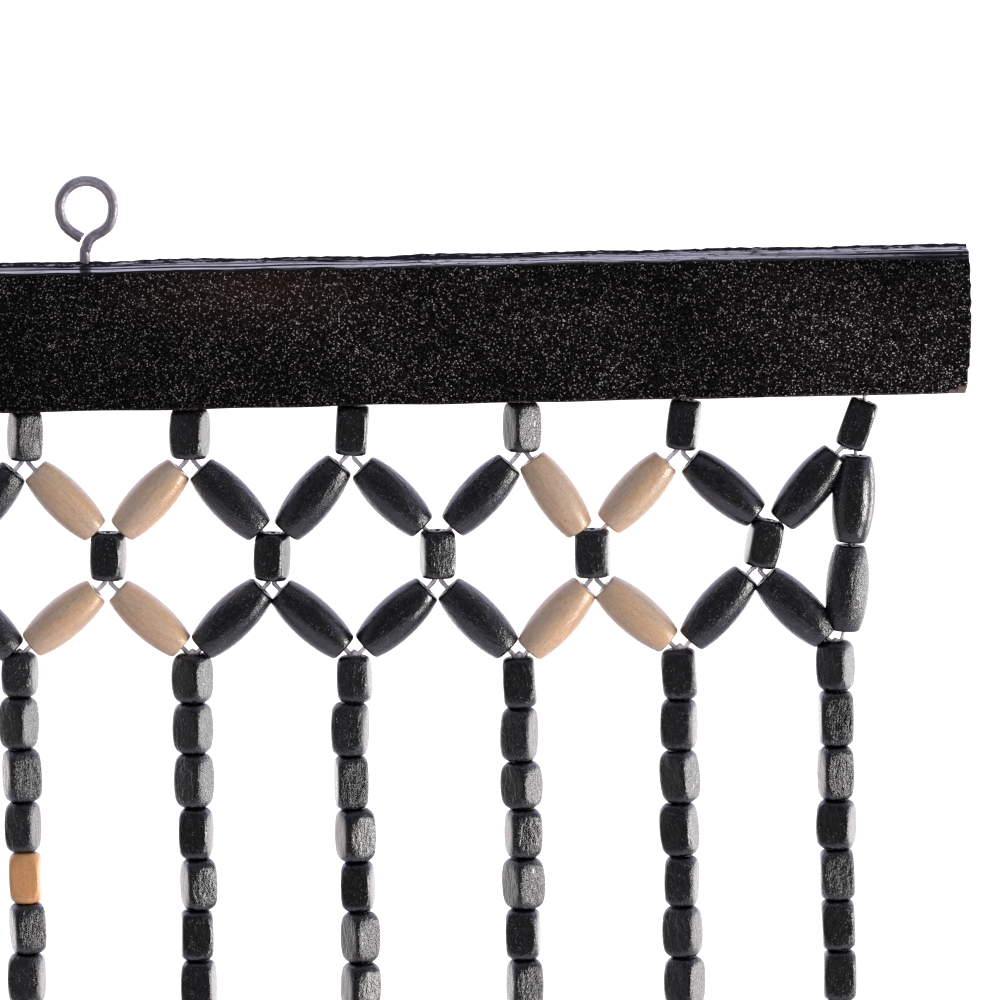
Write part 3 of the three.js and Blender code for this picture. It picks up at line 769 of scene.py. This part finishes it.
# The bar's outline in the YZ plane from the lower back corner, up the back, over the top, down the front
# and along the underside, with a small round at each corner: points, outward directions.
def barSection():
    back, front = bar["depth"] / 2, -bar["depth"] / 2
    top, low = net["barTop"], net["barTop"] - net["barHeight"]
    corners = [(back, low), (back, top), (front, top - bar["slope"]), (front, low)]
    count = len(corners)
    points, out = [], []
    for n in range(count):
        before, here = np.array(corners[n - 1]), np.array(corners[n])
        following = np.array(corners[(n + 1) % count])
        come, go = here - before, following - here
        come, go = come / np.linalg.norm(come), go / np.linalg.norm(go)
        radius = bar["rounds"][n]
        reach = radius * math.tan(math.acos(np.clip(come @ go, -1, 1)) / 2)
        outIn, outOut = np.array([come[1], -come[0]]), np.array([go[1], -go[0]])
        centre = here - come * reach - outIn * radius
        for share in np.linspace(0, 1, 4):
            way = outIn * (1 - share) + outOut * share
            way = way / np.linalg.norm(way)
            points.append(centre + way * radius)
            out.append(way)
        nextReach = bar["rounds"][(n + 1) % count]
        runStart, runEnd = here + go * reach, following - go * nextReach
        for share in np.linspace(0, 1, bar["runs"][n] + 2)[1:-1]:
            points.append(runStart + (runEnd - runStart) * share)
            out.append(outOut)
    return np.array(points), np.array(out)


# The section carried along X. Sine waves make it uneven, tear the back top edge and roughen both ends.
def barMesh(material):
    half = bar["width"] / 2
    x = np.arange(-half, half + 0.1, bar["step"])
    for side in (-1, 1):
        nearEye = side * eye["x"] + np.arange(-6, 6, bar["fineStep"])
        nearEnd = side * (half - np.arange(0, 4, bar["fineStep"]))
        x = np.concatenate([x, nearEye, nearEnd])
    x = np.unique(np.round(np.clip(x, -half, half), 2))
    section, out = barSection()
    gridX, arc = np.meshgrid(x, np.arange(len(section)), indexing="ij")
    y, z = section[:, 0][None] + 0 * gridX, section[:, 1][None] + 0 * gridX
    frontTop = net["barTop"] - bar["slope"]
    uneven = ripple(gridX, 11, 7, 25, 120) + 0.5 * ripple(gridX + arc * 9.1, 12, 6, 25, 80)
    rough = bar["rough"] * uneven
    backTop = np.exp(-((y - 5.7) ** 2 + (z - net["barTop"]) ** 2) / 0.9)
    jagged = 0.6 * ripple(gridX, 13, 14, 1.7, 5) + 0.5 * ripple(gridX, 18, 6, 12, 60)
    torn = bar["torn"] * jagged * backTop
    toRight = np.clip((gridX - 405) / 40, 0, 1) ** 1.5
    fromEdge = np.where(z > frontTop - 0.3, np.clip(y + 6, 0, 9), np.clip(frontTop - z, 0, 9))
    cut = toRight * np.clip(1 - fromEdge / bar["roundHigh"], 0, 1) ** 2 * (y < 2)
    onFrontEdge = np.exp(-((y + 5.8) ** 2 + (z - frontTop) ** 2) / 0.8)
    nicks = bar["nicks"] * ripple(gridX, 14, 8, 3, 25) * onFrontEdge
    rise = 0.35 * np.clip((y - 2) / 4, 0, 1) * (z > frontTop)
    outward = rough + torn + nicks + rise
    gy = y + out[:, 0][None] * outward + bar["roundBack"] * cut
    gz = z + out[:, 1][None] * outward - bar["roundDown"] * cut
    onTop = np.clip(out[:, 1][None] * 2.2, 0, 1) * np.ones_like(gz)
    for side in (-1, 1):
        fromWire = (gridX - side * eye["x"] - eye["shank"]) ** 2 * 0.55 + (gy - eye["y"]) ** 2
        lump = bar["mound"] * np.exp(-fromWire / 3.2) * (1 + 0.3 * np.sin(gridX * 3.1 + gy * 2.3))
        gz = gz + lump * (onTop > 0.9)
    level = (gz - net["barTop"] + net["barHeight"] / 2) / (net["barHeight"] / 2)
    inset = 0.2 * np.clip(level, 0, 1) ** 2 + 1.35 * np.clip(-level, 0, 1) ** 1.6 - 0.8
    inset = inset + 0.17 * ripple(gz + gy * 0.3, 15, 9, 1.8, 6)
    toEnd = np.clip((np.abs(gridX) - (half - 4)) / 4, 0, 1)
    gx = gridX - np.sign(gridX) * inset * toEnd
    verts = np.stack([gx, gy, gz], -1)
    rows, cols = gridX.shape
    faces = [quadStrip(rows, cols, False, True)[:, ::-1]]
    pieces, start = [verts.reshape(-1, 3)], rows * cols
    rng = np.random.default_rng(16)
    for row, left in ((0, True), (rows - 1, False)):
        rim = verts[row]
        centre = rim.mean(0)
        previous = row * cols + np.arange(cols)
        for share in bar["endRings"]:
            ring = centre + (rim - centre) * share
            ring[:, 0] += (-0.25 if left else 0.25) * (1 - share) + rng.normal(0, 0.08, cols)
            pieces.append(ring)
            now = start + np.arange(cols)
            quad = np.stack([previous, np.roll(previous, -1), np.roll(now, -1), now], -1)
            faces.append(quad if left else quad[:, ::-1])
            previous, start = now, start + cols
        pieces.append(pieces[-1].mean(0)[None])
        fan = np.stack([previous, np.roll(previous, -1), np.full(cols, start)], -1)
        faces.append(fan if left else fan[:, ::-1])
        start += 1
    verts = np.vstack(pieces)
    quads = np.vstack([f for f in faces if f.shape[1] == 4])
    fans = np.vstack([f for f in faces if f.shape[1] == 3])
    topSide = np.concatenate([onTop.reshape(-1), np.zeros(len(verts) - rows * cols)])
    piece = newPiece("barWood", verts * mm, [quads, fans], material, {"topSide": topSide})
    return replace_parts(piece, "bar")


# Camera and light

view = {"target": (0.34933, 0.0, -0.06927), "mmPerPixel": 0.215, "focalPixels": 8000, "pitch": 7,
        "roll": 1.18}


# The camera looks down at the target and is turned a little clockwise: the bar rises to the right.
def addCamera():
    pitch, roll = math.radians(view["pitch"]), math.radians(view["roll"])
    ahead = np.array([0, math.cos(pitch), -math.sin(pitch)])
    level = np.array([1.0, 0, 0])
    over = np.cross(level, ahead)
    right = level * math.cos(roll) - over * math.sin(roll)
    up = level * math.sin(roll) + over * math.cos(roll)
    distance = view["focalPixels"] * view["mmPerPixel"] * mm
    place = np.array(view["target"]) - ahead * distance
    data = bpy.data.cameras.new("camera")
    data.sensor_width = 36
    data.lens = view["focalPixels"] / 1000 * 36
    data.clip_end = 100
    camera = addObject("camera", data)
    columns = np.stack([right, up, -ahead, place], 1)
    camera.matrix_world = Matrix([*columns.tolist(), [0, 0, 0, 1]])
    bpy.context.scene.camera = camera


light = {"behind": 1.75, "highBehind": 1.6, "rightFront": 1.1, "above": 0.45, "left": 0.4, "front": 0.10,
         "high": (0.78, 0.77, 1.0), "low": (1.0, 0.95, 0.97)}


# White behind and to the right, as in a light tent; dim in front and to the left, where it is open.
def addWorld():
    world = bpy.data.worlds.new("studio")
    world.use_nodes = True
    tree = world.node_tree
    tree.nodes.clear()
    out = addNode(tree, "OutputWorld")
    back = addNode(tree, "Background", {"Strength": 1.0})
    place = addNode(tree, "TexCoord").outputs["Generated"]
    axis = linked(tree, place, addNode(tree, "SeparateXYZ"), "Vector").outputs

    def zone(key, sign, low, high, fromLevel, toLevel):
        reach = times(tree, axis[key], sign)
        return remap(tree, reach, low, high, fromLevel, toLevel, "SMOOTHSTEP")

    total = times(tree, zone("Y", 1.0, 0.0, 0.45, 0, 1),
                  zone("Z", 1.0, 0.06, 0.2, light["behind"], light["highBehind"]))
    for extra in (zone("X", 1.0, 0.55, 0.95, 0, light["rightFront"]),
                  zone("X", -1.0, 0.6, 0.95, 0, light["left"]),
                  zone("Z", 1.0, 0.45, 0.9, 0, light["above"])):
        total = maths(tree, "MAXIMUM", total, extra)
    total = maths(tree, "MAXIMUM", total, light["front"])
    tint = mixColour(tree, zone("Z", 1.0, 0.05, 0.2, 0, 1), light["low"], light["high"])
    strength = mixColour(tree, 1.0, tint, total, "MULTIPLY")
    linked(tree, strength, back, "Color")
    linked(tree, back.outputs[0], out, 0)
    bpy.context.scene.world = world


lampDistance = 2.0
# azimuth (0 is the camera's side, 90 the right) and elevation, size in metres, radiance, colour, and the
# kind of light that a lamp leaves out
lamps = {
    "softboxRight": (66, -10, (0.44, 0.8), 22, (1.0, 0.97, 0.94), None),
    "softboxEdge": (112, -8, (0.4, 1.0), 9, (1.0, 0.98, 1.0), None),
    "softboxLow": (60, -33, (0.22, 0.34), 18, (1.0, 0.98, 0.96), "visible_diffuse"),
    "warmFill": (62, -36, (1.0, 1.0), 6.5, (1.0, 0.68, 0.40), "visible_glossy"),
    "coolFill": (-32, 34, (1.2, 1.2), 3.6, (0.95, 0.94, 1.0), "visible_glossy"),
}


# A panel that faces the lattice.
def addLight(name, azimuth, elevation, size, radiance, colour, leftOut):
    azimuth, elevation = math.radians(azimuth), math.radians(elevation)
    aim = np.array(view["target"])
    level = math.cos(elevation)
    away = np.array([math.sin(azimuth) * level, -math.cos(azimuth) * level, math.sin(elevation)])
    data = bpy.data.lights.new(name, "AREA")
    data.shape = "RECTANGLE"
    data.size, data.size_y = size
    data.energy = radiance * math.pi * size[0] * size[1]
    data.color = colour
    lamp = addObject(name, data)
    side = np.cross(-away, [0, 0, 1])
    side /= np.linalg.norm(side)
    columns = np.stack([side, np.cross(side, -away), away, aim + away * lampDistance], 1)
    lamp.matrix_world = Matrix([*columns.tolist(), [0, 0, 0, 1]])
    lamp.visible_camera = False
    if leftOut:
        setattr(lamp, leftOut, False)


ground = {"half": 3, "drop": 0.06, "colour": (0.86, 0.86, 0.87), "roughness": 0.9}


def addFloor():
    mesh = bpy.data.meshes.new("floor")
    half, low = ground["half"], cadBox[0][2] - ground["drop"]
    corners = [(-half, -half, low), (half, -half, low), (half, half, low), (-half, half, low)]
    mesh.from_pydata(corners, [], [(0, 1, 2, 3)])
    plain = {"Base Color": (*ground["colour"], 1), "Roughness": ground["roughness"]}
    mesh.materials.append(newMaterial("paleFloor", plain)[0])
    addObject("floor", mesh)


addCamera()
addWorld()
addFloor()
for name, settings in lamps.items():
    addLight(name, *settings)
bpy.context.scene.view_settings.view_transform = "Standard"
print("camera, floor and light set")

blackBeads = blackBeadMaterial()
naturalBeads = naturalBeadMaterial()
tops, crossings, strings = lattice()
ovalList = ovals(tops, crossings, strings)

barMesh(barMaterial())
steel = steelMaterial()
eyeMesh("screwEyeLeft", "eye_left", -1, steel)
eyeMesh("screwEyeRight", "eye_right", 1, steel)
print("bar and eyes done")

latticeBead = {**squareBead, "end": 0.84, "fillet": (1.2, 1.5), "topLength": 10.8, "topLift": 0.2}
topBeadsToBar = [{**bead, "middle": bead["middle"] + [0, latticeBead["topLift"]],
                  "length": latticeBead["topLength"]} for bead in tops]
squares = [*topBeadsToBar, *crossings]
netPiece = beadMesh("latticeSquareBeads", latticeBead, squares, 21, True, blackBeads)
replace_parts(netPiece, "bead_net")


def ovalBeads(natural):
    chosen = [o for o in ovalList if o["natural"] == natural]
    rng = np.random.default_rng(31 + natural)
    belly = ovalBead["naturalBelly"] if natural else ovalBead["belly"]
    longer, wider = ovalBead["spread"]
    return [{"middle": o["middle"], "lean": math.atan2(*(o["high"] - o["low"])),
             "turn": rng.uniform(0, 360), "length": ovalBead["length"] + rng.normal(0, longer),
             "belly": belly + rng.normal(0, wider)} for o in chosen]


beadMesh("blackOvalBeads", ovalBead, ovalBeads(False), 41, False, blackBeads)
pale = ovalBeads(True)
palePiece = beadMesh("naturalOvalBeads", ovalBead, pale, 42, False, naturalBeads)
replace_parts(palePiece, *[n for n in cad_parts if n.startswith("natural_oval")])
print("lattice done")

# Bead strings: the strings and rows near the right-hand end are made fine, the rest of 34 faces a bead
strand = {"fineFrom": 18, "fineRows": 9, "accentFirst": 4, "accentStep": 3, "accentEvery": 24,
          "peaks": (5, 19), "accentTone": (0.9, 1), "belly": (4.6, 0.12), "turn": (-40, 40),
          "lean": (0, 1.2), "sideways": (0, 0.2), "shift": -0.3, "gap": 0.02}


# Natural beads run in even zigzags, whose tips are on two strings.
def isAccent(i, k):
    away = min(abs(i - peak) for peak in strand["peaks"])
    return (k - strand["accentFirst"] - strand["accentStep"] * away) % strand["accentEvery"] == 0


rng = np.random.default_rng(51)
fine, fineAccent, far, farAccent = [], [], [], []
for i, string in enumerate(strings):
    wanted = string["top"][1] - net["beads"] * net["pitch"]
    low = string["top"][1] + firstRise.get(i, 0)
    for k in range(net["beads"]):
        accent = isAccent(i, k)
        known = firstBeads.get(i, [])
        if k < len(known):
            right, length, belly, turn, lean = known[k]
            length = length + (firstRise[i] if k == 0 else 0)
            middleX = stringX(i) + right
        else:
            length = (low - wanted) / (net["beads"] - k)
            belly, turn = rng.normal(*strand["belly"]), rng.uniform(*strand["turn"])
            lean = rng.normal(*strand["lean"])
            middleX = string["top"][0] + rng.normal(*strand["sideways"]) + strand["shift"]
        middle = np.array([middleX, low - length / 2])
        low -= length
        if i >= strand["fineFrom"] and k < strand["fineRows"]:
            bead = {"middle": middle, "lean": math.radians(lean), "turn": turn,
                    "length": length - strand["gap"], "belly": belly}
            (fineAccent if accent else fine).append(bead)
        else:
            (farAccent if accent else far).append(middle)
beadMesh("nearStringBeads", squareBead, fine, 52, True, blackBeads)
accentBead = {**squareBead, "tone": strand["accentTone"]}
beadMesh("nearAccentBeads", accentBead, fineAccent, 53, True, naturalBeads)
farBeadMesh("leftStringBeads", [p for p in far if p[0] < 0], 54, blackBeads)
farBeadMesh("rightStringBeads", [p for p in far if p[0] >= 0], 55, blackBeads)
farBeadMesh("accentStringBeads", farAccent, 56, naturalBeads)
threadMesh(threadMaterial())
print("strings and thread done")
